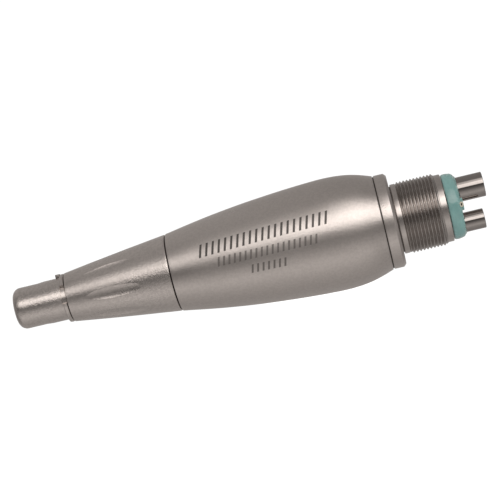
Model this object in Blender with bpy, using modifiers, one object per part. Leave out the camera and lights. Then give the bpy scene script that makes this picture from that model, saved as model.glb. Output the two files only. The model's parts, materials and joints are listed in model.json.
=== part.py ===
"""A low-speed air handpiece that drives a prophy angle.

It holds a swivelling hose coupling, a vane air motor, a planetary reduction and a nose with a collet. Its axis
is X: the hose is at +X, the nose at -X, and the exhaust tube is uppermost, at +Z. The origin is the centre of the
rear face of the hose gasket. Sizes and stations are in millimetres, and MM turns them into metres.
"""

import math

import bmesh
import bpy
from mathutils import Matrix

MM = 0.001
TURN = 2 * math.pi

# Stations along the axis, from the nose to the hose.
NOSE_FRONT = -75.6
COLLAR_FRONT = -67.2
COLLAR_REAR = -66.5
CONE_FRONT = -66.38
SLEEVE_REAR = -62.1
CONE_REAR = -48.65
BARREL_FRONT = -48.5
CONE_TAIL = -45.5
RING_TAIL = -15.4
BARREL_REAR = -13.25
RING_FRONT = -13.1
RING_REAR = -11.0
NECK_FRONT = -10.75
THREAD_FRONT = -9.85
THREAD_REAR = -3.58
COUPLING_REAR = -2.5
GASKET_FRONT = -2.4
GASKET_CHAMFER = -0.8
TUBE_END = 4.2
DRIVE_TUBE_END = 3.1

# Radii that the outside and the fits depend on.
NOSE_RADIUS = 3.45
NOSE_REAR_RADIUS = 3.55
NOSE_ROUNDING = 1.3
NOSE_TAPER = (-71.2, -70.0)
NOSE_BORE = 2.7
MOUTH_RADIUS = 1.9
MOUTH_REAR = NOSE_FRONT + 1.5
SLEEVE_RADIUS = 3.4
COLLAR_RADIUS = 4.05
CONE_TAIL_RADIUS = 5.55
RING_RADIUS = 7.83
RING_CHAMFER = 0.4
NECK_RADIUS = 5.8
REAR_LAND_RADIUS = 5.6
THREAD_RADIUS = 6.0
GASKET_RADIUS = 5.45
MOTOR_RADIUS = 6.75
BORE_RADIUS = 6.85
SPIGOT_RADIUS = 4.4
SHAFT_RADIUS = 1.45
FIT = 0.1

# The barrel's outline, a smooth curve through these (station, radius) points.
BARREL_OUTLINE = (
    (BARREL_FRONT, 6.5),
    (-42.0, 7.58),
    (-35.5, 8.41),
    (-28.9, 8.99),
    (-24.0, 9.28),
    (-20.8, 9.35),
    (-18.0, 9.14),
    (-15.7, 8.67),
    (BARREL_REAR, 7.86),
)
CONE_OUTLINE = ((CONE_FRONT, 4.1), (-60.5, 4.94), (-55.5, 5.6), (CONE_REAR, 6.46))

# Scallops round the nose cone, each an ellipsoid that dips this far below the cone's radius at its middle.
SCALLOPS = 8
SCALLOP_MIDDLE = -58.8
SCALLOP_SIZE = (13.0, 3.1, 3.1)
SCALLOP_DEPTH = 0.225
SCALLOP_START = math.radians(8)
CONE_RADIUS_AT_SCALLOP = 5.18

# The key on the nose that turns the prophy angle's sheath the right way, and the notch in the collar behind it.
KEY_FRONT = -67.95
KEY_REAR = -67.25
KEY_BOTTOM = 3.6
KEY_TOP = 4.15
KEY_WIDTH = 1.3
NOTCH_MIDDLE = math.radians(79)
NOTCH_WIDTH = math.radians(45)
NOTCH_BOTTOM = 3.3

# The hose's four holes: exhaust above the axis, drive air below it, and a small one on each side.
EXHAUST_HEIGHT = 2.4
EXHAUST_RADIUS = 2.04
DRIVE_HEIGHT = -3.05
DRIVE_RADIUS = 1.62
SMALL_HOLE_OFFSET = 3.15
SMALL_HOLE_RADIUS = 0.55
TUBE_FRONT = -7.9
EXHAUST_PASSAGE = (EXHAUST_HEIGHT - 0.3, 1.45)
DRIVE_PASSAGE = (DRIVE_HEIGHT + 0.55, 1.05)

# Thread for the hose nut, modelled as rings of the thread's depth and pitch.
THREAD_CRESTS = 11
THREAD_DEPTH = 0.32

# Planetary gears of one module: a fixed ring, three planets and a sun on the rotor.
MODULE = 0.3
SUN_TEETH = 12
PLANET_TEETH = 12
RING_TEETH = 36
RING_GEAR_RADIUS = 6.2
PLANETS = 3
ADDENDUM = 0.8 * MODULE
DEDENDUM = 1.25 * MODULE
PRESSURE_ANGLE = math.radians(20)
BACKLASH = 0.06
PLANET_BORE = 0.6
PLANET_PIN_RADIUS = 0.5
CARRIER_FRONT = -46.7
CARRIER_REAR = -45.3
CARRIER_RADIUS = 4.7
CARRIER_HUB_RADIUS = 2.6
SUN_PITCH_RADIUS = MODULE * SUN_TEETH / 2
PLANET_PITCH_RADIUS = MODULE * PLANET_TEETH / 2
RING_PITCH_RADIUS = MODULE * RING_TEETH / 2
PLANET_ORBIT = SUN_PITCH_RADIUS + PLANET_PITCH_RADIUS
GEAR_FRONT = -45.0
GEAR_REAR = -41.6

# Vane motor: the liner's bore is off centre, upwards.
LINER_FRONT = -37.1
LINER_REAR = -23.5
LINER_BORE = 5.2
ECCENTRICITY = 0.5
ROTOR_RADIUS = 4.6
VANES = 4
VANE_THICKNESS = 0.65
SLOT_BOTTOM = 2.3
FRONT_PLATE_FRONT = -40.8
REAR_PLATE_REAR = -19.4
PLATE_WEB = 0.6
PLATE_BORE = 2.2
MANIFOLD_FRONT = -19.2
MANIFOLD_REAR = -16.7
LOCATING_PIN_HEIGHT = -5.75
LOCATING_PIN_RADIUS = 0.5
PORT_STATIONS = (-34.0, -30.3, -26.6)
PORT_WIDTH = 1.2
PINION_RADIUS = 0.85
PINION_REAR = -41.3
SHAFT_REAR = -19.5
EXHAUST_GROOVE = (-34.0, -33.0, -25.0, -24.0)
EXHAUST_GROOVE_RADIUS = 7.6
WASHER_STATIONS = (-22.6, -22.45)
WASHER_RADII = (3.9, 3.0)
WASHER_WAVE = 0.08

# Ball bearings: (outer radius, race thickness, ball radius) with a 3 mm bore.
BEARING_BORE = 1.5
BEARING_WIDTH = 2.5
LARGE_BEARING = (4.0, 0.65, 0.5)
SMALL_BEARING = (3.0, 0.3, 0.38)
BALLS = 7
ROTOR_BEARINGS = (-40.4, -22.2)
OUTPUT_BEARINGS = (-60.9, -51.4)

# The output: a hollow spindle with the collet in its head.
SPINDLE_HEAD = (-72.9, -62.8)
SPINDLE_HEAD_RADIUS = 2.35
SPINDLE_NECK = -61.2
SPINDLE_REAR = -45.4
SPINDLE_BORE = 0.9
COLLET_SEAT_REAR = -63.0
COLLET_FRONT = -73.7
COLLET_REAR = -63.3
COLLET_RADIUS = 1.85
COLLET_HEAD_RADIUS = 2.2
COLLET_BORE = 1.18
COLLET_SLIT = 0.3
COLLET_SLIT_REAR = -66.0
SPACER_STATIONS = (-58.3, -51.6)
RETAINER_STATIONS = (-48.4, -47.3)

# The swivel: a spigot in the rear ring, held by a snap ring and sealed by two rubber rings.
SPIGOT_FRONT = -16.5
SNAP_RING_FRONT = -16.15
SNAP_RING_REAR = -15.6
SNAP_RING_GAP = 1.8
SWIVEL_SEALS = (-14.2, -12.4)
SEAL_GROOVE = 0.45
NOSE_SEAL = -64.3
NOSE_SEAL_GROOVE = 0.35
NOSE_SEAL_RADIUS = 3.67

# Facets round a full turn.
FINE = 56
OUTSIDE = 32
INSIDE = 24
SMALL = 14

for old in list(bpy.data.objects):
    bpy.data.objects.remove(old)

PARTS = bpy.data.collections.new("air_handpiece")
CUTTERS = bpy.data.collections.new("cutters")
CUTTERS.hide_render = True
bpy.context.scene.collection.children.link(PARTS)
bpy.context.scene.collection.children.link(CUTTERS)


def finish(name, color, roughness, metallic):
    made = bpy.data.materials.new(name)
    made.use_nodes = True
    made.diffuse_color = (*color, 1.0)
    shader = made.node_tree.nodes["Principled BSDF"]
    shader.inputs["Base Color"].default_value = (*color, 1.0)
    shader.inputs["Roughness"].default_value = roughness
    shader.inputs["Metallic"].default_value = metallic
    return made


SATIN_STEEL = (0.56, 0.53, 0.5)
BRIGHT_STEEL = (0.72, 0.7, 0.68)
DARK_STEEL = (0.34, 0.34, 0.35)
BLACK_RUBBER = (0.03, 0.03, 0.03)
TEAL_RUBBER = (0.16, 0.36, 0.33)
PHENOLIC = (0.3, 0.17, 0.08)


def satin(name):
    return finish(name, SATIN_STEEL, 0.38, 1.0)


def bright(name):
    return finish(name, BRIGHT_STEEL, 0.15, 1.0)


def hardened(name):
    return finish(name, DARK_STEEL, 0.3, 1.0)


def rubber(name):
    return finish(name, BLACK_RUBBER, 0.7, 0.0)


def frame_empty(name, parent=None, at=(0.0, 0.0, 0.0)):
    """An empty on a joint's axis, which carries the pieces of one moving body."""
    made = bpy.data.objects.new(name, None)
    made.location = [value * MM for value in at]
    made.parent = parent
    PARTS.objects.link(made)
    return made


def place(name, data, parent, look):
    made = bpy.data.objects.new(name, data)
    made.parent = parent
    made.data.materials.append(look)
    PARTS.objects.link(made)
    return made


def smooth_outline(points, per_span):
    """A Catmull-Rom curve through (station, radius) points."""
    ends = [points[0], *points, points[-1]]
    curve = []
    for before, start, end, after in zip(ends, ends[1:], ends[2:], ends[3:]):
        for step in range(per_span):
            t = step / per_span
            point = []
            for a, b, c, d in zip(before, start, end, after):
                bend = (2 * a - 5 * b + 4 * c - d) * t**2 + (3 * b - a - 3 * c + d) * t**3
                point.append(0.5 * (2 * b + (c - a) * t + bend))
            curve.append(tuple(point))
    return [*curve, points[-1]]


def turned(name, parent, look, outer, inner=None, steps=INSIDE):
    """A turned piece about X from its outer and inner (station, radius) points; with no inner it is solid."""
    if inner:
        stations = [*reversed(outer), *inner]
    else:
        stations = [(outer[-1][0], 0.0), *reversed(outer), (outer[0][0], 0.0)]
    points = [(radius * MM, 0.0, station * MM) for station, radius in stations]
    edges = [(index, index + 1) for index in range(len(points) - 1)]
    if inner:
        edges.append((len(points) - 1, 0))
    mesh = bpy.data.meshes.new(name)
    mesh.from_pydata(points, edges, [])
    made = place(name, mesh, parent, look)
    made.rotation_euler = (0.0, math.pi / 2, 0.0)
    screw = made.modifiers.new("turn", "SCREW")
    screw.axis = "Z"
    screw.angle = TURN
    screw.steps = steps
    screw.render_steps = steps
    screw.use_merge_vertices = True
    screw.merge_threshold = 1e-6
    return made


def sleeve(name, parent, look, front, rear, outer_radius, inner_radius, steps=INSIDE):
    """A plain ring or tube."""
    outer = [(front, outer_radius), (rear, outer_radius)]
    inner = [(front, inner_radius), (rear, inner_radius)]
    return turned(name, parent, look, outer, inner, steps)


def o_ring(name, parent, station, radius, thickness, steps=INSIDE):
    """A rubber ring of round section, its middle at this station and radius."""
    sides = 6
    section = [
        (station - thickness * math.cos(TURN * side / sides), radius + thickness * math.sin(TURN * side / sides))
        for side in range(sides)
    ]
    outer = section[: sides // 2 + 1]
    inner = list(reversed(section[sides // 2 + 1 :]))
    return turned(name, parent, rubber(name), outer, inner, steps)


def cutter(name, shape):
    """A helper mesh from a bmesh in millimetres, in world space."""
    mesh = bpy.data.meshes.new(name)
    bmesh.ops.scale(shape, vec=(MM, MM, MM), verts=shape.verts)
    shape.to_mesh(mesh)
    shape.free()
    made = bpy.data.objects.new(name, mesh)
    made.hide_render = True
    made.display_type = "WIRE"
    CUTTERS.objects.link(made)
    return made


def rods_along_x(name, rods, sides=SMALL):
    """Cutter rods parallel to X, each (front, rear, y, z, radius)."""
    shape = bmesh.new()
    for front, rear, y, z, radius in rods:
        where = Matrix.Translation(((front + rear) / 2, y, z)) @ Matrix.Rotation(math.pi / 2, 4, "Y")
        bmesh.ops.create_cone(
            shape,
            cap_ends=True,
            segments=sides,
            radius1=radius,
            radius2=radius,
            depth=rear - front,
            matrix=where,
        )
    return cutter(name, shape)


def blocks(name, sizes):
    """Cutter blocks, each (low corner, high corner, roll about X)."""
    shape = bmesh.new()
    for low, high, roll in sizes:
        middle = [(a + b) / 2 for a, b in zip(low, high)]
        size = Matrix.Diagonal((*[b - a for a, b in zip(low, high)], 1.0))
        where = Matrix.Rotation(roll, 4, "X") @ Matrix.Translation(middle) @ size
        bmesh.ops.create_cube(shape, size=1.0, matrix=where)
    return cutter(name, shape)


def sector(name, front, rear, inner_radius, outer_radius, middle, width):
    """A cutter shaped as part of a ring about X; middle is its angle from +Z towards -Y."""
    shape = bmesh.new()
    steps = 6
    angles = [middle + width * (step / steps - 0.5) for step in range(steps + 1)]
    arc = [(outer_radius, angle) for angle in angles] + [(inner_radius, angle) for angle in reversed(angles)]
    corners = [(front, -radius * math.sin(angle), radius * math.cos(angle)) for radius, angle in arc]
    face = shape.faces.new([shape.verts.new(corner) for corner in corners])
    pulled = bmesh.ops.extrude_face_region(shape, geom=[face])
    moved = [item for item in pulled["geom"] if isinstance(item, bmesh.types.BMVert)]
    bmesh.ops.translate(shape, vec=(rear - front, 0.0, 0.0), verts=moved)
    bmesh.ops.recalc_face_normals(shape, faces=shape.faces)
    return cutter(name, shape)


def boolean(piece, tool, operation="DIFFERENCE"):
    change = piece.modifiers.new(operation.lower(), "BOOLEAN")
    change.operation = operation
    change.object = tool
    change.solver = "EXACT"
    return piece


def flat_outline(name, parent, look, front, rear, outlines):
    """A plate across X, cut to closed outlines in its own plane; an outline inside another is a hole."""
    data = bpy.data.curves.new(name, "CURVE")
    data.dimensions = "2D"
    data.fill_mode = "BOTH"
    data.extrude = (rear - front) / 2 * MM
    for outline in outlines:
        spline = data.splines.new("POLY")
        spline.points.add(len(outline) - 1)
        spline.use_cyclic_u = True
        for point, (across, up) in zip(spline.points, outline):
            point.co = (across * MM, up * MM, 0.0, 1.0)
    made = place(name, data, parent, look)
    made.location = ((front + rear) / 2 * MM, 0.0, 0.0)
    made.rotation_euler = (0.0, math.pi / 2, 0.0)
    return made


def circle(radius, sides=SMALL):
    return [(radius * math.cos(TURN * i / sides), radius * math.sin(TURN * i / sides)) for i in range(sides)]


def involute(angle):
    return math.tan(angle) - angle


def gear_outline(teeth, root, tip, slack, phase):
    """A gear's teeth as a closed outline: slack thins the teeth at the pitch circle, phase is a tooth's angle."""
    pitch_radius = MODULE * teeth / 2
    base_radius = pitch_radius * math.cos(PRESSURE_ANGLE)
    half_pitch = math.pi / (2 * teeth) - slack / (2 * pitch_radius) + involute(PRESSURE_ANGLE)
    flank = []
    for radius in (root, pitch_radius, tip):
        contact = math.acos(min(1.0, base_radius / radius))
        flank.append((radius, half_pitch - involute(contact)))
    outline = []
    for tooth in range(teeth):
        middle = phase + TURN * tooth / teeth
        for radius, half_angle in flank:
            outline.append((radius * math.cos(middle - half_angle), radius * math.sin(middle - half_angle)))
        for radius, half_angle in reversed(flank):
            outline.append((radius * math.cos(middle + half_angle), radius * math.sin(middle + half_angle)))
    return outline


def bearing(name, front, kind, fixed, turning, balls_parent):
    """A ball bearing: an outer race, an inner race, and its balls joined by their cage."""
    outer_radius, race, ball_radius = kind
    rear = front + BEARING_WIDTH
    middle = (front + rear) / 2
    pitch_radius = (outer_radius + BEARING_BORE) / 2
    outer_name, inner_name = f"{name}_outer_race", f"{name}_inner_race"
    sleeve(outer_name, fixed, bright(outer_name), front, rear, outer_radius, outer_radius - race)
    sleeve(inner_name, turning, bright(inner_name), front, rear, BEARING_BORE + race, BEARING_BORE, SMALL)
    half_cage = 0.3 * ball_radius
    cage = sleeve(
        f"{name}_balls",
        balls_parent,
        bright(f"{name}_balls"),
        middle - half_cage,
        middle + half_cage,
        pitch_radius + half_cage,
        pitch_radius - half_cage,
        SMALL,
    )
    shape = bmesh.new()
    for ball in range(BALLS):
        angle = TURN * ball / BALLS
        where = Matrix.Translation((middle, pitch_radius * math.sin(angle), pitch_radius * math.cos(angle)))
        bmesh.ops.create_uvsphere(shape, u_segments=6, v_segments=4, radius=ball_radius, matrix=where)
    boolean(cage, cutter(f"{name}_ball_shapes", shape), "UNION")


def make_hose_coupling(body):
    pitch = (THREAD_REAR - THREAD_FRONT) / THREAD_CRESTS
    thread = []
    for crest in range(THREAD_CRESTS):
        start = THREAD_FRONT + crest * pitch
        thread.append((start, THREAD_RADIUS - THREAD_DEPTH))
        thread.append((start + pitch / 2, THREAD_RADIUS))
    groove_bottom = SPIGOT_RADIUS - 0.65
    grooves = []
    for middle in SWIVEL_SEALS:
        start, end = middle - SEAL_GROOVE, middle + SEAL_GROOVE
        grooves += [(start, SPIGOT_RADIUS), (start, groove_bottom), (end, groove_bottom), (end, SPIGOT_RADIUS)]
    outer = [
        (SPIGOT_FRONT, SPIGOT_RADIUS),
        (SNAP_RING_FRONT - FIT, SPIGOT_RADIUS),
        (SNAP_RING_FRONT - FIT, SPIGOT_RADIUS - 0.4),
        (SNAP_RING_REAR + FIT, SPIGOT_RADIUS - 0.4),
        (SNAP_RING_REAR + FIT, SPIGOT_RADIUS),
        *grooves,
        (NECK_FRONT, SPIGOT_RADIUS),
        (NECK_FRONT, NECK_RADIUS),
        (THREAD_FRONT - 0.1, NECK_RADIUS),
        *thread,
        (THREAD_REAR, THREAD_RADIUS - THREAD_DEPTH),
        (THREAD_REAR + 0.1, REAR_LAND_RADIUS),
        (COUPLING_REAR, REAR_LAND_RADIUS),
    ]
    coupling = turned("coupling_body", body, satin("coupling_body"), outer)
    beyond = COUPLING_REAR + 1.0
    before = SPIGOT_FRONT - 1.0
    rods = [
        (TUBE_FRONT - FIT, beyond, 0.0, EXHAUST_HEIGHT, EXHAUST_RADIUS + FIT),
        (TUBE_FRONT - FIT, beyond, 0.0, DRIVE_HEIGHT, DRIVE_RADIUS + FIT),
    ]
    boolean(coupling, rods_along_x("tube_sockets", rods))
    rods = [
        (before, beyond, 0.0, *EXHAUST_PASSAGE),
        (before, beyond, 0.0, *DRIVE_PASSAGE),
        (before, beyond, SMALL_HOLE_OFFSET, 0.0, SMALL_HOLE_RADIUS),
        (before, beyond, -SMALL_HOLE_OFFSET, 0.0, SMALL_HOLE_RADIUS),
    ]
    boolean(coupling, rods_along_x("coupling_passages", rods, 12))


def make_hose_gasket(body):
    outer = [(GASKET_FRONT, GASKET_RADIUS), (GASKET_CHAMFER, GASKET_RADIUS), (0.0, GASKET_RADIUS - 0.75)]
    gasket = turned("hose_gasket", body, finish("hose_gasket", TEAL_RUBBER, 0.55, 0.0), outer, steps=OUTSIDE)
    front = GASKET_FRONT - 1.0
    rods = [
        (front, 1.0, 0.0, EXHAUST_HEIGHT, EXHAUST_RADIUS + FIT),
        (front, 1.0, 0.0, DRIVE_HEIGHT, DRIVE_RADIUS + FIT),
        (front, 1.0, SMALL_HOLE_OFFSET, 0.0, SMALL_HOLE_RADIUS),
        (front, 1.0, -SMALL_HOLE_OFFSET, 0.0, SMALL_HOLE_RADIUS),
    ]
    boolean(gasket, rods_along_x("gasket_holes", rods))


def make_tube(name, body, height, radius, bore, end):
    """A hose tube with a chamfered end, its axis at this height above the handpiece's."""
    outer = [(TUBE_FRONT, radius), (end - 0.15, radius), (end, radius - 0.1)]
    inner = [(TUBE_FRONT, bore), (end, bore)]
    tube = turned(name, body, bright(name), outer, inner, SMALL)
    tube.location = (0.0, 0.0, height * MM)


def make_snap_ring(body):
    ring = sleeve(
        "coupling_snap_ring",
        body,
        hardened("coupling_snap_ring"),
        SNAP_RING_FRONT,
        SNAP_RING_REAR,
        SPIGOT_RADIUS + 0.8,
        SPIGOT_RADIUS - 0.3,
    )
    low = (SNAP_RING_FRONT - 1.0, -SNAP_RING_GAP / 2, 0.0)
    high = (SNAP_RING_REAR + 1.0, SNAP_RING_GAP / 2, 2 * SPIGOT_RADIUS)
    boolean(ring, blocks("snap_ring_gap", [(low, high, 0.0)]))


def make_barrel(body):
    outer = smooth_outline(BARREL_OUTLINE, 2)
    groove_front, groove_start, groove_end, groove_rear = EXHAUST_GROOVE
    inner = [
        (BARREL_FRONT, CONE_TAIL_RADIUS + FIT),
        (CONE_TAIL + 0.3, CONE_TAIL_RADIUS + FIT),
        (CONE_TAIL + 0.3, RING_GEAR_RADIUS + FIT),
        (FRONT_PLATE_FRONT - 0.2, RING_GEAR_RADIUS + FIT),
        (FRONT_PLATE_FRONT - 0.2, BORE_RADIUS),
        (groove_front, BORE_RADIUS),
        (groove_start, EXHAUST_GROOVE_RADIUS),
        (groove_end, EXHAUST_GROOVE_RADIUS),
        (groove_rear, BORE_RADIUS),
        (BARREL_REAR, BORE_RADIUS),
    ]
    turned("barrel_shell", body, satin("barrel_shell"), outer, inner, OUTSIDE)


def make_rear_ring(body):
    outer = [
        (RING_TAIL, BORE_RADIUS - FIT),
        (RING_FRONT, BORE_RADIUS - FIT),
        (RING_FRONT, RING_RADIUS),
        (RING_REAR - RING_CHAMFER, RING_RADIUS),
        (RING_REAR, RING_RADIUS - RING_CHAMFER),
    ]
    inner = [(RING_TAIL, SPIGOT_RADIUS + 0.25), (RING_REAR, SPIGOT_RADIUS + 0.25)]
    turned("rear_ring", body, satin("rear_ring"), outer, inner, OUTSIDE)


def make_nose_cone(body):
    outer = [
        *smooth_outline(CONE_OUTLINE, 2),
        (CONE_REAR, CONE_TAIL_RADIUS),
        (CONE_TAIL, CONE_TAIL_RADIUS),
    ]
    bore = SLEEVE_RADIUS + FIT
    groove_bottom = NOSE_SEAL_RADIUS + 0.28
    front_pocket = SMALL_BEARING[0] + FIT
    rear_pocket = LARGE_BEARING[0] + FIT
    inner = [
        (CONE_FRONT, bore),
        (NOSE_SEAL - NOSE_SEAL_GROOVE, bore),
        (NOSE_SEAL - NOSE_SEAL_GROOVE, groove_bottom),
        (NOSE_SEAL + NOSE_SEAL_GROOVE, groove_bottom),
        (NOSE_SEAL + NOSE_SEAL_GROOVE, bore),
        (SLEEVE_REAR + FIT, bore),
        (SLEEVE_REAR + FIT, SPINDLE_HEAD_RADIUS + 0.15),
        (OUTPUT_BEARINGS[0] - 0.2, SPINDLE_HEAD_RADIUS + 0.15),
        (OUTPUT_BEARINGS[0] - 0.2, front_pocket),
        (OUTPUT_BEARINGS[1] - 2.6, front_pocket),
        (OUTPUT_BEARINGS[1] - 0.6, rear_pocket),
        (RETAINER_STATIONS[0] - 0.2, rear_pocket),
        (RETAINER_STATIONS[0] - 0.2, CARRIER_RADIUS + 0.2),
        (CONE_TAIL, CARRIER_RADIUS + 0.2),
    ]
    cone = turned("nose_cone", body, satin("nose_cone"), outer, inner, FINE)
    front, rear = CONE_OUTLINE[0], CONE_OUTLINE[-1]
    slope = math.atan2(rear[1] - front[1], rear[0] - front[0])
    size = Matrix.Diagonal((*SCALLOP_SIZE, 1.0))
    shape = bmesh.new()
    height = CONE_RADIUS_AT_SCALLOP - SCALLOP_DEPTH + SCALLOP_SIZE[2]
    for scallop in range(SCALLOPS):
        roll = SCALLOP_START + TURN * scallop / SCALLOPS
        lift = Matrix.Translation((SCALLOP_MIDDLE, 0.0, -height))
        where = Matrix.Rotation(roll - math.pi / 2, 4, "X") @ lift @ Matrix.Rotation(slope, 4, "Y") @ size
        bmesh.ops.create_uvsphere(shape, u_segments=FINE, v_segments=FINE // 2, radius=1.0, matrix=where)
    boolean(cone, cutter("scallop_shapes", shape))


def make_nose_sleeve(body):
    """The nose tube with its rounded front, and the collar that a prophy angle stops against."""
    rounding = []
    for step in range(5):
        angle = math.pi / 2 * step / 4
        x = NOSE_FRONT + NOSE_ROUNDING * (1 - math.sin(angle))
        rounding.append((x, NOSE_RADIUS - NOSE_ROUNDING * (1 - math.cos(angle))))
    outer = [
        *reversed(rounding),
        (NOSE_TAPER[0], NOSE_RADIUS),
        (NOSE_TAPER[1], NOSE_REAR_RADIUS),
        (COLLAR_FRONT, NOSE_REAR_RADIUS),
        (COLLAR_FRONT, COLLAR_RADIUS),
        (COLLAR_REAR, COLLAR_RADIUS),
        (COLLAR_REAR, SLEEVE_RADIUS),
        (SLEEVE_REAR, SLEEVE_RADIUS),
    ]
    inner = [(NOSE_FRONT, MOUTH_RADIUS), (MOUTH_REAR, MOUTH_RADIUS)]
    inner += [(MOUTH_REAR, NOSE_BORE), (SLEEVE_REAR, NOSE_BORE)]
    nose = turned("nose_sleeve", body, satin("nose_sleeve"), outer, inner, OUTSIDE)
    beyond = COLLAR_RADIUS + 1.0
    front, rear = COLLAR_FRONT - 0.1, COLLAR_REAR + 0.1
    boolean(nose, sector("collar_notch", front, rear, NOTCH_BOTTOM, beyond, NOTCH_MIDDLE, NOTCH_WIDTH))
    o_ring("nose_seal", body, NOSE_SEAL, NOSE_SEAL_RADIUS, 0.2)


def make_index_key(body):
    shape = bmesh.new()
    size = Matrix.Diagonal((KEY_REAR - KEY_FRONT, KEY_WIDTH, KEY_TOP - KEY_BOTTOM, 1.0))
    bmesh.ops.create_cube(shape, size=MM, matrix=size)
    mesh = bpy.data.meshes.new("index_key")
    shape.to_mesh(mesh)
    shape.free()
    key = place("index_key", mesh, body, satin("index_key"))
    key.location = ((KEY_FRONT + KEY_REAR) / 2 * MM, 0.0, (KEY_BOTTOM + KEY_TOP) / 2 * MM)
    rounding = key.modifiers.new("rounding", "BEVEL")
    rounding.width = 0.1 * MM
    rounding.segments = 2


def make_motor(body, rotor):
    pin_rod = (GEAR_FRONT, RING_TAIL, 0.0, LOCATING_PIN_HEIGHT, LOCATING_PIN_RADIUS + FIT)
    pin_hole = rods_along_x("locating_pin_hole", [pin_rod], 12)
    name = "cylinder_liner"
    liner = sleeve(name, body, hardened(name), LINER_FRONT, LINER_REAR, MOTOR_RADIUS, LINER_BORE - 0.8)
    bore = [(LINER_FRONT - 1.0, LINER_REAR + 1.0, 0.0, ECCENTRICITY, LINER_BORE)]
    boolean(liner, rods_along_x("liner_bore", bore, INSIDE))
    boolean(liner, pin_hole)
    half = PORT_WIDTH / 2
    ports = []
    for middle in PORT_STATIONS:
        for near, far in ((-LINER_BORE - 3.0, -LINER_BORE + 2.5), (LINER_BORE - 2.5, LINER_BORE + 3.0)):
            ports.append(((middle - half, near, -half), (middle + half, far, half), 0.0))
    boolean(liner, blocks("air_ports", ports))

    face = LINER_FRONT - FIT
    pocket_radius = LARGE_BEARING[0] + FIT
    plate = [(FRONT_PLATE_FRONT, MOTOR_RADIUS), (face, MOTOR_RADIUS)]
    pocket = [(FRONT_PLATE_FRONT, pocket_radius), (face - PLATE_WEB, pocket_radius)]
    pocket += [(face - PLATE_WEB, PLATE_BORE), (face, PLATE_BORE)]
    front_plate = turned("front_end_plate", body, satin("front_end_plate"), plate, pocket)
    boolean(front_plate, pin_hole)
    face = LINER_REAR + FIT
    plate = [(face, MOTOR_RADIUS), (REAR_PLATE_REAR, MOTOR_RADIUS)]
    pocket = [(face, PLATE_BORE), (face + PLATE_WEB, PLATE_BORE)]
    pocket += [(face + PLATE_WEB, pocket_radius), (REAR_PLATE_REAR, pocket_radius)]
    rear_plate = turned("rear_end_plate", body, satin("rear_end_plate"), plate, pocket)
    boolean(rear_plate, pin_hole)
    pin = [(FRONT_PLATE_FRONT + 0.3, LOCATING_PIN_RADIUS), (REAR_PLATE_REAR - 0.3, LOCATING_PIN_RADIUS)]
    locating_pin = turned("locating_pin", body, hardened("locating_pin"), pin, steps=12)
    locating_pin.location = (0.0, 0.0, LOCATING_PIN_HEIGHT * MM)

    disc = [(MANIFOLD_FRONT, MOTOR_RADIUS), (MANIFOLD_REAR, MOTOR_RADIUS)]
    manifold = turned("air_manifold", body, satin("air_manifold"), disc)
    front, rear = MANIFOLD_FRONT - 1.0, MANIFOLD_REAR + 1.0
    rods = [(front, rear, 0.0, *EXHAUST_PASSAGE), (front, rear, 0.0, *DRIVE_PASSAGE)]
    boolean(manifold, rods_along_x("manifold_passages", rods, 12))

    outer = [
        (GEAR_FRONT, PINION_RADIUS),
        (PINION_REAR, PINION_RADIUS),
        (PINION_REAR, SHAFT_RADIUS),
        (LINER_FRONT + 0.2, SHAFT_RADIUS),
        (LINER_FRONT + 0.2, ROTOR_RADIUS),
        (LINER_REAR - 0.2, ROTOR_RADIUS),
        (LINER_REAR - 0.2, SHAFT_RADIUS),
        (SHAFT_REAR, SHAFT_RADIUS),
    ]
    core = turned("rotor_core", rotor, hardened("rotor_core"), outer)
    half_slot = VANE_THICKNESS / 2 + FIT / 2
    low = (LINER_FRONT - 1.0, -half_slot, SLOT_BOTTOM)
    high = (LINER_REAR + 1.0, half_slot, BORE_RADIUS)
    boolean(core, blocks("rotor_slots", [(low, high, TURN * vane / VANES) for vane in range(VANES)]))
    height = ROTOR_RADIUS - SLOT_BOTTOM - 0.2
    length = LINER_REAR - LINER_FRONT - 0.6
    for vane in range(VANES):
        shape = bmesh.new()
        middle = Matrix.Translation((0.0, 0.0, (SLOT_BOTTOM + FIT + height / 2) * MM))
        size = Matrix.Diagonal((length, VANE_THICKNESS, height, 1.0))
        bmesh.ops.create_cube(shape, size=MM, matrix=middle @ size)
        mesh = bpy.data.meshes.new(f"vane_{vane + 1}")
        shape.to_mesh(mesh)
        shape.free()
        blade = place(f"vane_{vane + 1}", mesh, rotor, finish(f"vane_{vane + 1}", PHENOLIC, 0.6, 0.0))
        blade.location = ((LINER_FRONT + LINER_REAR) / 2 * MM, 0.0, 0.0)
        blade.rotation_euler = (TURN * vane / VANES, 0.0, 0.0)


def make_wave_washer(body):
    """A thin spring ring that presses on the rear bearing, with three waves round it."""
    name = "preload_wave_washer"
    washer = sleeve(name, body, hardened(name), *WASHER_STATIONS, *WASHER_RADII)
    apply_modifiers(washer)
    for vertex in washer.data.vertices:
        vertex.co.z += WASHER_WAVE * MM * math.cos(3 * math.atan2(vertex.co.y, vertex.co.x))


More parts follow.
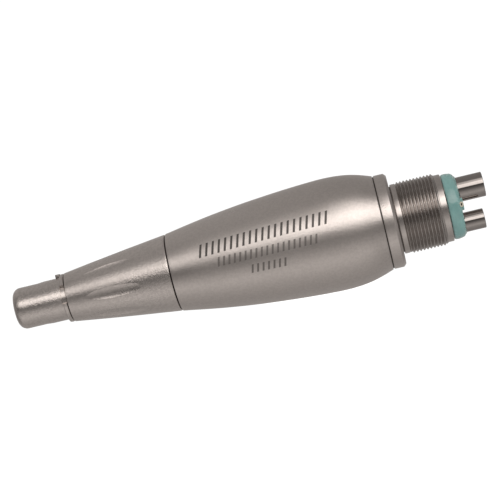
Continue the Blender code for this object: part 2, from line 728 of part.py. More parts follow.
def make_gears(body, rotor, output, planet_frames):
    ring_space = gear_outline(
        RING_TEETH, RING_PITCH_RADIUS - ADDENDUM, RING_PITCH_RADIUS + DEDENDUM, -BACKLASH, math.pi / RING_TEETH
    )
    outlines = [circle(RING_GEAR_RADIUS, 36), ring_space]
    flat_outline("ring_gear", body, hardened("ring_gear"), GEAR_FRONT, GEAR_REAR + 0.2, outlines)
    sun_root = SUN_PITCH_RADIUS - DEDENDUM
    outlines = [gear_outline(SUN_TEETH, sun_root, SUN_PITCH_RADIUS + ADDENDUM, BACKLASH, 0.0)]
    outlines.append(circle(PINION_RADIUS + FIT))
    flat_outline("sun_pinion", rotor, bright("sun_pinion"), GEAR_FRONT, GEAR_REAR, outlines)
    planet_root = PLANET_PITCH_RADIUS - DEDENDUM
    for index, planet_frame in enumerate(planet_frames):
        phase = TURN * index / PLANETS + math.pi / PLANET_TEETH
        teeth = gear_outline(PLANET_TEETH, planet_root, PLANET_PITCH_RADIUS + ADDENDUM, BACKLASH, phase)
        name = f"planet_gear_{index + 1}"
        flat_outline(name, planet_frame, bright(name), GEAR_FRONT, GEAR_REAR, [teeth, circle(PLANET_BORE, 12)])

    carrier = turned(
        "planet_carrier",
        output,
        hardened("planet_carrier"),
        [(CARRIER_FRONT, CARRIER_HUB_RADIUS), (CARRIER_FRONT, CARRIER_RADIUS), (CARRIER_REAR, CARRIER_RADIUS)],
        [(CARRIER_FRONT, SHAFT_RADIUS + FIT / 2), (CARRIER_REAR, SHAFT_RADIUS + FIT / 2)],
    )
    rods = []
    pin_outline = [(CARRIER_FRONT + FIT, PLANET_PIN_RADIUS), (GEAR_REAR - 0.2, PLANET_PIN_RADIUS)]
    for index in range(PLANETS):
        y, z = planet_place(index)
        rods.append((CARRIER_FRONT - 1.0, CARRIER_REAR + 1.0, y, z, PLANET_PIN_RADIUS + FIT / 2))
        name = f"planet_pin_{index + 1}"
        pin = turned(name, output, bright(name), pin_outline, steps=12)
        pin.location = (0.0, y * MM, z * MM)
    boolean(carrier, rods_along_x("pin_holes", rods, 12))


def planet_place(index):
    """Where a planet's axis crosses the handpiece's cross-section, as (y, z)."""
    angle = TURN * index / PLANETS
    return PLANET_ORBIT * math.sin(angle), -PLANET_ORBIT * math.cos(angle)


def make_output(body, output):
    head_front, head_rear = SPINDLE_HEAD
    outer = [
        (head_front, SPINDLE_HEAD_RADIUS),
        (head_rear, SPINDLE_HEAD_RADIUS),
        (SPINDLE_NECK, SHAFT_RADIUS),
        (SPINDLE_REAR, SHAFT_RADIUS),
    ]
    inner = [
        (head_front, COLLET_RADIUS + FIT),
        (COLLET_SEAT_REAR, COLLET_RADIUS + FIT),
        (COLLET_SEAT_REAR + 0.4, SPINDLE_BORE),
        (SPINDLE_REAR, SPINDLE_BORE),
    ]
    turned("output_spindle", output, hardened("output_spindle"), outer, inner)
    outer = [
        (COLLET_FRONT, COLLET_HEAD_RADIUS - 0.5),
        (COLLET_FRONT + 0.2, COLLET_HEAD_RADIUS),
        (head_front - 0.15, COLLET_HEAD_RADIUS),
        (head_front - 0.15, COLLET_RADIUS),
        (COLLET_REAR, COLLET_RADIUS),
    ]
    inner = [(COLLET_FRONT, COLLET_BORE + 0.17), (COLLET_FRONT + 0.3, COLLET_BORE), (COLLET_REAR, COLLET_BORE)]
    collet = turned("collet", output, bright("collet"), outer, inner, 18)
    low = (COLLET_FRONT - 1.0, -COLLET_SLIT / 2, 0.0)
    high = (COLLET_SLIT_REAR, COLLET_SLIT / 2, 2 * COLLET_RADIUS)
    boolean(collet, blocks("collet_slits", [(low, high, TURN * slit / 3) for slit in range(3)]))
    spacer_bore = SHAFT_RADIUS + FIT / 2
    name = "bearing_spacer"
    sleeve(name, output, hardened(name), *SPACER_STATIONS, spacer_bore + 0.4, spacer_bore, SMALL)
    name = "bearing_retainer"
    sleeve(name, body, satin(name), *RETAINER_STATIONS, CARRIER_RADIUS + 0.05, CARRIER_HUB_RADIUS)


def apply_modifiers(piece):
    """Replaces a piece's mesh with the one its modifiers give."""
    graph = bpy.context.evaluated_depsgraph_get()
    piece.data = bpy.data.meshes.new_from_object(piece.evaluated_get(graph))
    piece.modifiers.clear()


def shade(piece):
    piece.data.shade_smooth()
    piece.data.set_sharp_from_angle(angle=math.radians(32))


def main():
    coupling = frame_empty("coupling_frame")
    handle = frame_empty("handle_frame", coupling)
    rotor = frame_empty("rotor_frame", handle)
    output = frame_empty("output_frame", handle)
    planets = [frame_empty(f"planet_frame_{i + 1}", output, (0.0, *planet_place(i))) for i in range(PLANETS)]

    make_hose_coupling(coupling)
    make_hose_gasket(coupling)
    make_tube("exhaust_tube", coupling, EXHAUST_HEIGHT, EXHAUST_RADIUS, 1.65, TUBE_END)
    make_tube("drive_air_tube", coupling, DRIVE_HEIGHT, DRIVE_RADIUS, 1.2, DRIVE_TUBE_END)
    make_snap_ring(coupling)
    for name, station in zip(("swivel_seal_front", "swivel_seal_rear"), SWIVEL_SEALS):
        o_ring(name, coupling, station, SPIGOT_RADIUS - 0.25, 0.35)

    make_barrel(handle)
    make_rear_ring(handle)
    make_nose_cone(handle)
    make_nose_sleeve(handle)
    make_index_key(handle)
    make_motor(handle, rotor)
    make_wave_washer(handle)
    make_gears(handle, rotor, output, planets)
    make_output(handle, output)
    balls = [frame_empty(f"balls_frame_{i + 1}", handle) for i in range(4)]
    bearing("rotor_bearing_front", ROTOR_BEARINGS[0], LARGE_BEARING, handle, rotor, balls[0])
    bearing("rotor_bearing_rear", ROTOR_BEARINGS[1], LARGE_BEARING, handle, rotor, balls[1])
    bearing("output_bearing_front", OUTPUT_BEARINGS[0], SMALL_BEARING, handle, output, balls[2])
    bearing("output_bearing_rear", OUTPUT_BEARINGS[1], LARGE_BEARING, handle, output, balls[3])

    bpy.context.view_layer.update()
    for piece in [item for item in PARTS.objects if item.type == "MESH"]:
        apply_modifiers(piece)
        shade(piece)


main()
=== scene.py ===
"""The looks of the air handpiece: turned surfaces, materials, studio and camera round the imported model."""

import json
import math

import bmesh
import bpy
from mathutils import Matrix, Vector


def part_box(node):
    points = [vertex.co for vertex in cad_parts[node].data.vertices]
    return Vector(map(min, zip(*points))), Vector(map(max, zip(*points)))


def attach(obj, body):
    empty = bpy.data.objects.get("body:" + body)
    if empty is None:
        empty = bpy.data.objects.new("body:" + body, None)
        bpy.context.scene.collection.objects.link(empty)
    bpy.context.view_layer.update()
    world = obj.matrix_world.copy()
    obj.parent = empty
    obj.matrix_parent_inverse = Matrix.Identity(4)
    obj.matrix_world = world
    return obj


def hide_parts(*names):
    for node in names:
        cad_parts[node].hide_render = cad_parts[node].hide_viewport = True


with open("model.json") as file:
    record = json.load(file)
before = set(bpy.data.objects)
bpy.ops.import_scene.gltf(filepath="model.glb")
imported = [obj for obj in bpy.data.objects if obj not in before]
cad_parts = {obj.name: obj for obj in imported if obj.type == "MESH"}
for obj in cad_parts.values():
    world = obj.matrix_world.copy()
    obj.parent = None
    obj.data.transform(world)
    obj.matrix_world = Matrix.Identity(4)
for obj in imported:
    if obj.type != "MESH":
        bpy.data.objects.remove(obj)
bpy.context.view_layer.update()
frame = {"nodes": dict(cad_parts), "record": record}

MM = 0.001
TURN = 2 * math.pi


# ---------------------------------------------------------------- measures from the frame, in millimetres


def span(node):
    """A turned node's front station, rear station and largest radius."""
    low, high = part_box(node)
    return low.x / MM, high.x / MM, (high.z - low.z) / 2 / MM


NOSE_FRONT, SLEEVE_REAR, COLLAR_RADIUS = span("nose_sleeve")
CONE_FRONT, CONE_TAIL, _ = span("nose_cone")
BARREL_FRONT, BARREL_REAR, BARREL_RADIUS = span("barrel_shell")
RING_TAIL, RING_REAR, RING_RADIUS = span("rear_ring")
SPIGOT_FRONT, COUPLING_REAR, THREAD_RADIUS = span("coupling_body")
GASKET_FRONT, _, GASKET_RADIUS = span("hose_gasket")
EXHAUST_FRONT, TUBE_END, EXHAUST_RADIUS = span("exhaust_tube")
_, DRIVE_END, DRIVE_RADIUS = span("drive_air_tube")
EXHAUST_HEIGHT = (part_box("exhaust_tube")[0].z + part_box("exhaust_tube")[1].z) / 2 / MM
DRIVE_HEIGHT = (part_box("drive_air_tube")[0].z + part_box("drive_air_tube")[1].z) / 2 / MM

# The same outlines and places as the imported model's.
NOSE_RADIUS = 3.45
NOSE_REAR_RADIUS = 3.55
NOSE_TAPER = (-71.2, -70.0)
NOSE_ROUNDING = 1.3
NOSE_BORE = 2.7
SLEEVE_RADIUS = 3.4
MOUTH_RADIUS = 1.9
MOUTH_REAR = NOSE_FRONT + 1.5
COLLAR_FRONT = -67.2
COLLAR_REAR = -66.5
NOTCH_BOTTOM = 3.3
NOTCH_MIDDLE = math.radians(79)
NOTCH_WIDTH = math.radians(45)
CONE_REAR = -48.65
RING_FRONT = -13.1
RING_CHAMFER = 0.42
MOTOR_RADIUS = 6.75
BORE_RADIUS = 6.85
NECK_RADIUS = 5.8
REAR_LAND_RADIUS = 5.6
THREAD_FRONT = -9.85
THREAD_REAR = -3.58
THREAD_CRESTS = 11
THREAD_DEPTH = 0.32
SPIGOT_RADIUS = 4.4
SPIGOT_HOLE_RADIUS = 4.65
BARREL_TAIL_RADIUS = 7.86
BARREL_OUTLINE = (
    (BARREL_FRONT, 6.5),
    (-42.0, 7.58),
    (-35.5, 8.41),
    (-28.9, 8.99),
    (-24.0, 9.28),
    (-20.8, BARREL_RADIUS),
    (-18.0, 9.14),
    (-15.7, 8.67),
    (BARREL_REAR, BARREL_TAIL_RADIUS),
)
BARREL_STEPS = 10
CONE_OUTLINE = ((CONE_FRONT, 4.1), (-60.5, 4.94), (-55.5, 5.6), (CONE_REAR, 6.46))
SCALLOPS = 8
SCALLOP_MIDDLE = -58.8
SCALLOP_SIZE = (13.0, 3.1, 3.1)
SCALLOP_DEPTH = 0.225
SCALLOP_START = math.radians(8)
CONE_RADIUS_AT_SCALLOP = 5.18
SMALL_HOLE_OFFSET = 3.15
SMALL_HOLE_RADIUS = 0.55
EXHAUST_BORE = 1.65
DRIVE_BORE = 1.2
PASSAGES = ((EXHAUST_HEIGHT - 0.3, 1.45), (DRIVE_HEIGHT + 0.55, 1.05))  # height and radius of each

# Details that the looks add to the imported model.
# The seam between barrel and ring gets a dark floor, which is painted shade.
SEAM_DEPTH = 0.2  # dark-floored seam between barrel and ring
NOTCH_FRONT = COLLAR_FRONT - 0.12
NOTCH_REAR = COLLAR_REAR + 0.1
NOTCH_REAR_DEPTH = 0.3  # how much lower the notch runs just behind the collar
KEY_FOOT = 3.2
# The groove between ring and neck gets a dark floor, which is painted shade.
NECK_GROOVE = 0.22  # dark-floored groove between ring and neck, and its depth
NECK_GROOVE_DEPTH = 0.3
SOCKET_GAP = 0.1  # round and ahead of each tube where it enters the coupling
GASKET_GAP = 0.02  # round each tube in the gasket
MARK_LIFT = 0.006
MARK_SLANT = 0.25
GASKET_SIDE = ((GASKET_FRONT, GASKET_RADIUS - 0.12), (-2.15, GASKET_RADIUS - 0.02), (-1.6, GASKET_RADIUS))
GASKET_EDGE = 0.85
GASKET_EDGE_MIDDLE = (-1.15, GASKET_RADIUS - 0.93)
LIP_FRONT = -1.2
SKIN_SIZE = 0.08
VENT_PLACE = (-0.2, -4.85, -0.05)
VENT_TURN = math.radians(-50)
VENT_LENGTH = 0.7
VENT_RADIUS = 0.45
VENT_BORE = 0.2

# Segments round the turned pieces.
FINE = 256
THREADS = 192
MEDIUM = 128
COARSE = 72


# ---------------------------------------------------------------- materials


def shader_nodes(name):
    """A new material, its node tree and its Principled BSDF."""
    made = bpy.data.materials.new(name)
    made.use_nodes = True
    tree = made.node_tree
    return made, tree, tree.nodes["Principled BSDF"]


def noise(tree, size, detail=2.0, roughness=0.5):
    """A noise texture in the object's own coordinates, with features of this size in millimetres."""
    place = tree.nodes.new("ShaderNodeTexCoord")
    made = tree.nodes.new("ShaderNodeTexNoise")
    made.inputs["Scale"].default_value = 1 / (size * MM)
    made.inputs["Detail"].default_value = detail
    made.inputs["Roughness"].default_value = roughness
    tree.links.new(place.outputs["Object"], made.inputs["Vector"])
    return made


def spread(tree, source, low, high, start=0.3, end=0.7):
    """A number that follows a texture between two limits."""
    made = tree.nodes.new("ShaderNodeMapRange")
    made.inputs["From Min"].default_value = start
    made.inputs["From Max"].default_value = end
    made.inputs["To Min"].default_value = low
    made.inputs["To Max"].default_value = high
    tree.links.new(source, made.inputs["Value"])
    return made.outputs["Result"]


def tinted(tree, source, dark, light, start=0.3, end=0.7):
    """A colour that follows a texture between two colours."""
    made = tree.nodes.new("ShaderNodeValToRGB")
    made.color_ramp.elements[0].position = start
    made.color_ramp.elements[1].position = end
    made.color_ramp.elements[0].color = (*dark, 1.0)
    made.color_ramp.elements[1].color = (*light, 1.0)
    tree.links.new(source, made.inputs["Fac"])
    return made.outputs["Color"]


def bumped(tree, shader, layers):
    """Bump from (texture output, height in millimetres) layers."""
    normal = None
    for source, height in layers:
        bump = tree.nodes.new("ShaderNodeBump")
        bump.inputs["Strength"].default_value = 1.0
        bump.inputs["Distance"].default_value = height * MM
        tree.links.new(source, bump.inputs["Height"])
        if normal:
            tree.links.new(normal, bump.inputs["Normal"])
        normal = bump.outputs["Normal"]
    tree.links.new(normal, shader.inputs["Normal"])


def shaded(color, factor):
    """The colour made darker or lighter."""
    return tuple(value * factor for value in color)


# Sizes of the textures' features, in millimetres.
SPECKLE_SIZE = 0.45
METAL_WEAR_SIZE = 9
RUBBER_WEAR_SIZE = 3


def metal(name, color, roughness, grain=0.25, grain_height=0.006, polish=0.05, speckle=0.03):
    """Metal with a fine bumpy grain, a speckle in its colour and slow changes of its polish.

    Grain and its height are in millimetres; polish and speckle say how far roughness and colour vary.
    """
    made, tree, shader = shader_nodes(name)
    shader.inputs["Metallic"].default_value = 1.0
    fine = noise(tree, grain, detail=3.0, roughness=0.6)
    speckles = noise(tree, SPECKLE_SIZE, detail=1.0, roughness=0.9)
    broad = noise(tree, METAL_WEAR_SIZE, detail=3.0)
    dark, light = shaded(color, 1 - speckle), shaded(color, 1 + speckle)
    color_now = tinted(tree, speckles.outputs["Fac"], dark, light, start=0.38, end=0.62)
    tree.links.new(color_now, shader.inputs["Base Color"])
    rough = spread(tree, broad.outputs["Fac"], roughness - polish, roughness + polish)
    tree.links.new(rough, shader.inputs["Roughness"])
    bumped(tree, shader, [(fine.outputs["Fac"], grain_height)])
    return made


def rubber(name, color, roughness, grain=0.35, grain_height=0.01, gloss=0.5, depth=0.0):
    """Rubber or resin with a soft grain; depth is how much light goes in and spreads below its surface."""
    made, tree, shader = shader_nodes(name)
    shader.inputs["Specular IOR Level"].default_value = gloss
    shader.inputs["Subsurface Weight"].default_value = depth
    shader.inputs["Subsurface Scale"].default_value = 2 * MM
    shader.inputs["Subsurface Radius"].default_value = (1.0, 1.0, 1.0)
    fine = noise(tree, grain, detail=4.0)
    broad = noise(tree, RUBBER_WEAR_SIZE, detail=2.0)
    color_now = tinted(tree, broad.outputs["Fac"], shaded(color, 0.9), shaded(color, 1.08))
    tree.links.new(color_now, shader.inputs["Base Color"])
    rough = spread(tree, fine.outputs["Fac"], 0.6 * roughness, 1.4 * roughness)
    tree.links.new(rough, shader.inputs["Roughness"])
    bumped(tree, shader, [(fine.outputs["Fac"], grain_height)])
    return made


WARM_STEEL = (0.6, 0.56, 0.535)
BLASTED = metal("blasted_steel", WARM_STEEL, 0.29, grain=0.3, grain_height=0.032, speckle=0.06)
SATIN = metal("satin_steel", WARM_STEEL, 0.32, grain=0.28, grain_height=0.022, speckle=0.04)
# Painted shade: a darker copy of the steel for the key, standing in for the shade that the key sits in.
PAINTED_SHADE_STEEL = metal("painted_shade_steel", shaded(WARM_STEEL, 0.45), 0.3, grain=0.25, grain_height=0.012)
SMOOTH = metal("smooth_steel", shaded(WARM_STEEL, 0.9), 0.24, grain=0.3, grain_height=0.003, polish=0.03)
THREADED = metal("threaded_steel", shaded(WARM_STEEL, 0.7), 0.26, grain=0.35, grain_height=0.008)
POLISHED = metal(
    "polished_steel", shaded(WARM_STEEL, 0.62), 0.05, grain=0.4, grain_height=0.0006, polish=0.02
)
GROUND = metal("ground_steel", (0.45, 0.45, 0.46), 0.25, grain=0.12, grain_height=0.002)
DARK = metal("hardened_steel", (0.26, 0.26, 0.27), 0.32, grain=0.12, grain_height=0.003)
TEAL = rubber("teal_silicone", (0.255, 0.465, 0.44), 0.08, grain=0.9, grain_height=0.1, gloss=0.8, depth=0.3)
# Black rubber for the kept rubber nodes; it is also painted shade as the disc down the vent's hole.
BLACK = rubber("black_rubber", (0.02, 0.02, 0.02), 0.55)
RESIN = rubber("vane_resin", (0.22, 0.11, 0.05), 0.6, grain=0.6, grain_height=0.02)
# Dark steel for the upper row of etched marks; it is also painted shade on the floor of the seam between
# barrel and ring.
ETCH_AND_SEAM_SHADE = metal("etch_and_seam_shade_steel", shaded(WARM_STEEL, 0.2), 0.5, grain=0.2, grain_height=0.004)
# Fainter dark steel for the lower rows of etched marks; it is also painted shade on the floor of the groove
# between ring and neck.
FAINT_ETCH_AND_GROOVE_SHADE = metal("faint_etch_and_groove_shade_steel", shaded(WARM_STEEL, 0.42), 0.5, grain=0.2, grain_height=0.004)
CREAM = rubber("cream_silicone", (0.72, 0.66, 0.52), 0.45, grain=0.15, grain_height=0.003)


# ---------------------------------------------------------------- mesh tools


def smooth_outline(points, per_span):
    """A Catmull-Rom curve through (station, radius) points."""

    def between(a, b, c, d, t):
        bend = (2 * a - 5 * b + 4 * c - d) * t**2
        return 0.5 * (2 * b + (c - a) * t + bend + (3 * b - a - 3 * c + d) * t**3)

    ends = [points[0], *points, points[-1]]
    curve = []
    for neighbours in zip(ends, ends[1:], ends[2:], ends[3:]):
        for step in range(per_span):
            curve.append(tuple(between(*values, step / per_span) for values in zip(*neighbours)))
    return [*curve, points[-1]]


def rounded(points, size, steps=4, closed=True):
    """The outline with every clear corner turned into a small curve that starts this far from the corner."""
    made = []
    count = len(points)
    for index, (x, r) in enumerate(points):
        if not closed and index in (0, count - 1):
            made.append((x, r))
            continue
        here = Vector((x, r))
        before = Vector(points[index - 1]) - here
        after = Vector(points[(index + 1) % count]) - here
        if before.length < 1e-9 or after.length < 1e-9 or before.angle(-after) < math.radians(15):
            made.append((x, r))
            continue
        reach = min(size, before.length * 0.45, after.length * 0.45)
        start = here + before.normalized() * reach
        end = here + after.normalized() * reach
        for step in range(steps + 1):
            t = step / steps
            point = start * (1 - t) ** 2 + here * 2 * t * (1 - t) + end * t**2
            made.append((point.x, point.y))
    return made


def mesh_from(name, shape):
    """A mesh made from a bmesh, which is used up."""
    mesh = bpy.data.meshes.new(name)
    shape.to_mesh(mesh)
    shape.free()
    return mesh


def lathe(name, stations, segments, radius_at=None, height=0.0):
    """A turned mesh about X from a closed outline of (station, radius) points in millimetres.

    A radius of 0 is a pole. radius_at(station, angle, radius) may change a point's radius.
    height lifts the axis.
    """
    shape = bmesh.new()
    rings = []
    for x, r in stations:
        if r < 1e-6:
            rings.append([shape.verts.new((x * MM, 0.0, height * MM))])
            continue
        ring = []
        for index in range(segments):
            angle = TURN * index / segments
            radius = radius_at(x, angle, r) if radius_at else r
            y = radius * math.sin(angle)
            z = height + radius * math.cos(angle)
            ring.append(shape.verts.new((x * MM, y * MM, z * MM)))
        rings.append(ring)
    pairs = list(zip(rings, rings[1:]))
    if len(rings[0]) > 1:
        pairs.append((rings[-1], rings[0]))
    for first, second in pairs:
        if len(first) == 1 and len(second) == 1:
            continue
        for index in range(segments):
            following = (index + 1) % segments
            if len(first) == 1:
                shape.faces.new((first[0], second[following], second[index]))
            elif len(second) == 1:
                shape.faces.new((first[index], first[following], second[0]))
            else:
                shape.faces.new((first[index], first[following], second[following], second[index]))
    bmesh.ops.recalc_face_normals(shape, faces=shape.faces)
    return mesh_from(name, shape)


def new_object(name, mesh):
    """An object in the scene that shows this mesh."""
    made = bpy.data.objects.new(name, mesh)
    bpy.context.scene.collection.objects.link(made)
    return made


def shade(piece, degrees=34):
    """Smooth shading with edges kept sharp from this angle on."""
    piece.data.shade_smooth()
    piece.data.set_sharp_from_angle(angle=math.radians(degrees))
    return piece


def dress(piece, look, body, slot, *nodes):
    """Gives a piece its material and its body, and hides the imported nodes that it stands for; slot is not
    used.
    """
    piece.data.materials.clear()
    piece.data.materials.append(look)
    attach(piece, body)
    if nodes:
        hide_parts(*nodes)
    return piece


def paint(piece, look, chosen):
    """Gives the faces whose (station, radius) is chosen a second look."""
    piece.data.materials.append(look)
    index = len(piece.data.materials) - 1
    for face in piece.data.polygons:
        middle = face.center / MM
        if chosen(middle.x, math.hypot(middle.y, middle.z)):
            face.material_index = index


def apply_modifiers(piece):
    """Turns what the piece's modifiers show into its mesh."""
    graph = bpy.context.evaluated_depsgraph_get()
    piece.data = bpy.data.meshes.new_from_object(piece.evaluated_get(graph))
    piece.modifiers.clear()
    return piece


def cut(piece, shape, operation="DIFFERENCE"):
    """Cuts a bmesh, given in millimetres, out of a piece, or joins it on."""
    bmesh.ops.scale(shape, vec=(MM, MM, MM), verts=shape.verts)
    tool = new_object("tool", mesh_from("tool", shape))
    change = piece.modifiers.new("cut", "BOOLEAN")
    change.operation = operation
    change.object = tool
    change.solver = "EXACT"
    apply_modifiers(piece)
    bpy.data.objects.remove(tool)
    return piece


def rods(places, sides):
    """Rods parallel to X, each (front, rear, y, z, radius)."""
    shape = bmesh.new()
    for front, rear, y, z, radius in places:
        where = Matrix.Translation(((front + rear) / 2, y, z)) @ Matrix.Rotation(math.pi / 2, 4, "Y")
        bmesh.ops.create_cone(
            shape,
            cap_ends=True,
            segments=sides,
            radius1=radius,
            radius2=radius,
            depth=rear - front,
            matrix=where,
        )
    return shape


def blocks(sizes):
    """Blocks, each (low corner, high corner, roll about X)."""
    shape = bmesh.new()
    for low, high, roll in sizes:
        middle = [(a + b) / 2 for a, b in zip(low, high)]
        size = Matrix.Diagonal((*[b - a for a, b in zip(low, high)], 1.0))
        where = Matrix.Rotation(roll, 4, "X") @ Matrix.Translation(middle) @ size
        bmesh.ops.create_cube(shape, size=1.0, matrix=where)
    return shape


# ---------------------------------------------------------------- the handle


def make_barrel():
    """The barrel shell, with its stepped bore."""
    outer = smooth_outline(BARREL_OUTLINE, BARREL_STEPS)
    inner = [
        (BARREL_REAR, BORE_RADIUS),
        (-41.0, BORE_RADIUS),
        (-41.0, 6.3),
        (-45.2, 6.3),
        (-45.2, 5.65),
        (BARREL_FRONT, 5.65),
    ]
    stations = rounded([*outer, *inner], size=0.09)
    piece = shade(new_object("barrel", lathe("barrel", stations, FINE)))
    dress(piece, SATIN, "handle", "satin_steel", "barrel_shell")


def make_rear_ring():
    """The ring, with painted shade as the dark floor of the seam between it and the barrel."""
    seam_front = BARREL_REAR + 0.01
    seam_rear = RING_FRONT + 0.05
    seam_floor = BARREL_TAIL_RADIUS - SEAM_DEPTH
    outline = [
        (RING_TAIL, MOTOR_RADIUS),
        (seam_front, MOTOR_RADIUS),
        (seam_front, seam_floor),
        (seam_rear, seam_floor),
        (seam_rear, RING_RADIUS),
        (RING_REAR - RING_CHAMFER, RING_RADIUS),
        (RING_REAR, RING_RADIUS - RING_CHAMFER),
        (RING_REAR, SPIGOT_HOLE_RADIUS),
        (RING_TAIL, SPIGOT_HOLE_RADIUS),
    ]
    mesh = lathe("swivel_ring", rounded(outline, size=0.05), FINE)
    piece = shade(new_object("swivel_ring", mesh), degrees=50)
    dress(piece, SATIN, "handle", "satin_steel", "rear_ring")
    # Painted shade: the seam's floor gets the dark etched steel.
    paint(piece, ETCH_AND_SEAM_SHADE, lambda x, r: x < RING_FRONT + 0.04 and r < seam_floor + 0.03)


def make_cone():
    """The nose cone with its flutes, which rolled ellipsoids scoop out of it."""
    outline = smooth_outline(CONE_OUTLINE, per_span=24)
    del outline[-3:-1]  # leaves room for the rounding of the rear edge
    tail = [(CONE_REAR, 5.55), (CONE_TAIL, 5.55), (CONE_TAIL, 4.9), (-48.6, 4.9), (-48.6, 4.1), (-52.0, 4.1)]
    bore = [(-54.0, 3.1), (-61.1, 3.1), (-61.1, 2.5), (-62.0, 2.5), (-62.0, 3.5), (CONE_FRONT, 3.5)]
    stations = rounded([*outline, *tail, *bore], size=0.25)
    piece = new_object("fluted_cone", lathe("fluted_cone", stations, FINE))
    front, rear = CONE_OUTLINE[0], CONE_OUTLINE[-1]
    slope = math.atan2(rear[1] - front[1], rear[0] - front[0])
    height = CONE_RADIUS_AT_SCALLOP - SCALLOP_DEPTH + SCALLOP_SIZE[2]
    size = Matrix.Diagonal((*SCALLOP_SIZE, 1.0))
    shape = bmesh.new()
    for scallop in range(SCALLOPS):
        roll = SCALLOP_START + TURN * scallop / SCALLOPS
        lift = Matrix.Translation((SCALLOP_MIDDLE, 0.0, -height))
        where = Matrix.Rotation(roll - math.pi / 2, 4, "X") @ lift @ Matrix.Rotation(slope, 4, "Y") @ size
        bmesh.ops.create_uvsphere(shape, u_segments=96, v_segments=64, radius=1.0, matrix=where)
    cut(piece, shape)
    shade(piece, degrees=11)
    dress(piece, BLASTED, "handle", "satin_steel", "nose_cone")


def notched(station, angle, radius):
    """Takes the collar down to the nose tube where its notch is."""
    off_middle = abs((TURN - angle) - NOTCH_MIDDLE)
    if off_middle < NOTCH_WIDTH / 2 and NOTCH_FRONT < station < NOTCH_REAR:
        return min(radius, NOTCH_BOTTOM if station < COLLAR_REAR - 0.12 else NOTCH_BOTTOM - NOTCH_REAR_DEPTH)
    return radius


def make_sleeve():
    """The nose tube with its rounded mouth and its notched collar, whose notch has a smoother floor."""
    rounding = []
    for step in range(13):
        angle = math.pi / 2 * step / 12
        x = NOSE_FRONT + NOSE_ROUNDING * (1 - math.sin(angle))
        rounding.append((x, NOSE_RADIUS - NOSE_ROUNDING * (1 - math.cos(angle))))
    tube = [*reversed(rounding), (NOSE_TAPER[0], NOSE_RADIUS), (NOSE_TAPER[1], NOSE_REAR_RADIUS)]
    collar = [
        (COLLAR_FRONT, NOSE_REAR_RADIUS),
        (COLLAR_FRONT, COLLAR_RADIUS),
        (COLLAR_REAR, COLLAR_RADIUS),
        (COLLAR_REAR, SLEEVE_RADIUS),
    ]
    rear = [
        (COLLAR_REAR + 0.11, SLEEVE_RADIUS),
        (SLEEVE_REAR, SLEEVE_RADIUS),
        (SLEEVE_REAR, NOSE_BORE),
        (MOUTH_REAR, NOSE_BORE),
        (MOUTH_REAR, MOUTH_RADIUS),
        (NOSE_FRONT, MOUTH_RADIUS),
    ]
    notch_step = [(COLLAR_FRONT - 0.13, NOSE_REAR_RADIUS), (COLLAR_FRONT - 0.11, NOSE_REAR_RADIUS)]
    collar = rounded(collar, size=0.2, closed=False)
    stations = rounded([*tube, *notch_step, *collar, *rear], size=0.04)
    piece = shade(new_object("nose_tube", lathe("nose_tube", stations, FINE, notched)))
    dress(piece, BLASTED, "handle", "satin_steel", "nose_sleeve")
    paint(piece, SMOOTH, lambda x, r: NOTCH_FRONT < x < NOTCH_REAR and 2.8 < r < 3.38)


def make_key():
    """The key, which runs down into the nose tube that it is fixed to."""
    low, high = (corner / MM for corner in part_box("index_key"))
    low.z = KEY_FOOT
    shape = blocks([(low, high, 0.0)])
    bmesh.ops.scale(shape, vec=(MM, MM, MM), verts=shape.verts)
    piece = new_object("key", mesh_from("key", shape))
    rounding = piece.modifiers.new("rounding", "BEVEL")
    rounding.width = 0.1 * MM
    rounding.segments = 4
    apply_modifiers(piece)
    shade(piece)
    # The key's darker steel is painted shade.
    dress(piece, PAINTED_SHADE_STEEL, "handle", "satin_steel", "index_key")


# ---------------------------------------------------------------- etched marks on the barrel

# Rows of plain dashes, each: name, look, first and last station, angle above the -Y line, height of a dash,
# pitch, and the share of the pitch that a dash fills.
MARK_ROWS = (
    ("etched_dashes_upper", ETCH_AND_SEAM_SHADE, -43.1, -20.8, math.radians(18.5), 2.2, 1.05, 0.36),
    ("etched_dashes_middle", FAINT_ETCH_AND_GROOVE_SHADE, -40.5, -23.7, math.radians(0.0), 1.5, 0.9, 0.36),
    ("etched_dashes_lower", FAINT_ETCH_AND_GROOVE_SHADE, -35.4, -29.1, math.radians(-16.0), 1.4, 0.9, 0.36),
)


def barrel_radius(station):
    """The barrel's outer radius at a station."""
    outline = smooth_outline(BARREL_OUTLINE, BARREL_STEPS)
    for (start, first), (end, second) in zip(outline, outline[1:]):
        if start <= station <= end:
            return first + (second - first) * (station - start) / (end - start)
    return BARREL_RADIUS


def make_marks():
    """Slanted dashes etched in three rows, each a thin patch that lies on the barrel's surface."""
    for name, look, start, end, angle, height, pitch, filled in MARK_ROWS:
        shape = bmesh.new()
        for dash in range(round((end - start) / pitch)):
            grid = []
            for row in range(7):
                rise = (row / 6 - 0.5) * height
                line = []
                for column in range(4):
                    x = start + dash * pitch + column / 3 * filled * pitch + MARK_SLANT * rise
                    radius = barrel_radius(x) + MARK_LIFT
                    turn = angle + rise / radius
                    y, z = -radius * math.cos(turn), radius * math.sin(turn)
                    line.append(shape.verts.new((x * MM, y * MM, z * MM)))
                grid.append(line)
            for lower, upper in zip(grid, grid[1:]):
                for column in range(3):
                    shape.faces.new((lower[column], lower[column + 1], upper[column + 1], upper[column]))
        piece = new_object(name, mesh_from(name, shape))
        piece.data.shade_smooth()
        dress(piece, look, "handle", "satin_steel")


# ---------------------------------------------------------------- the hose coupling


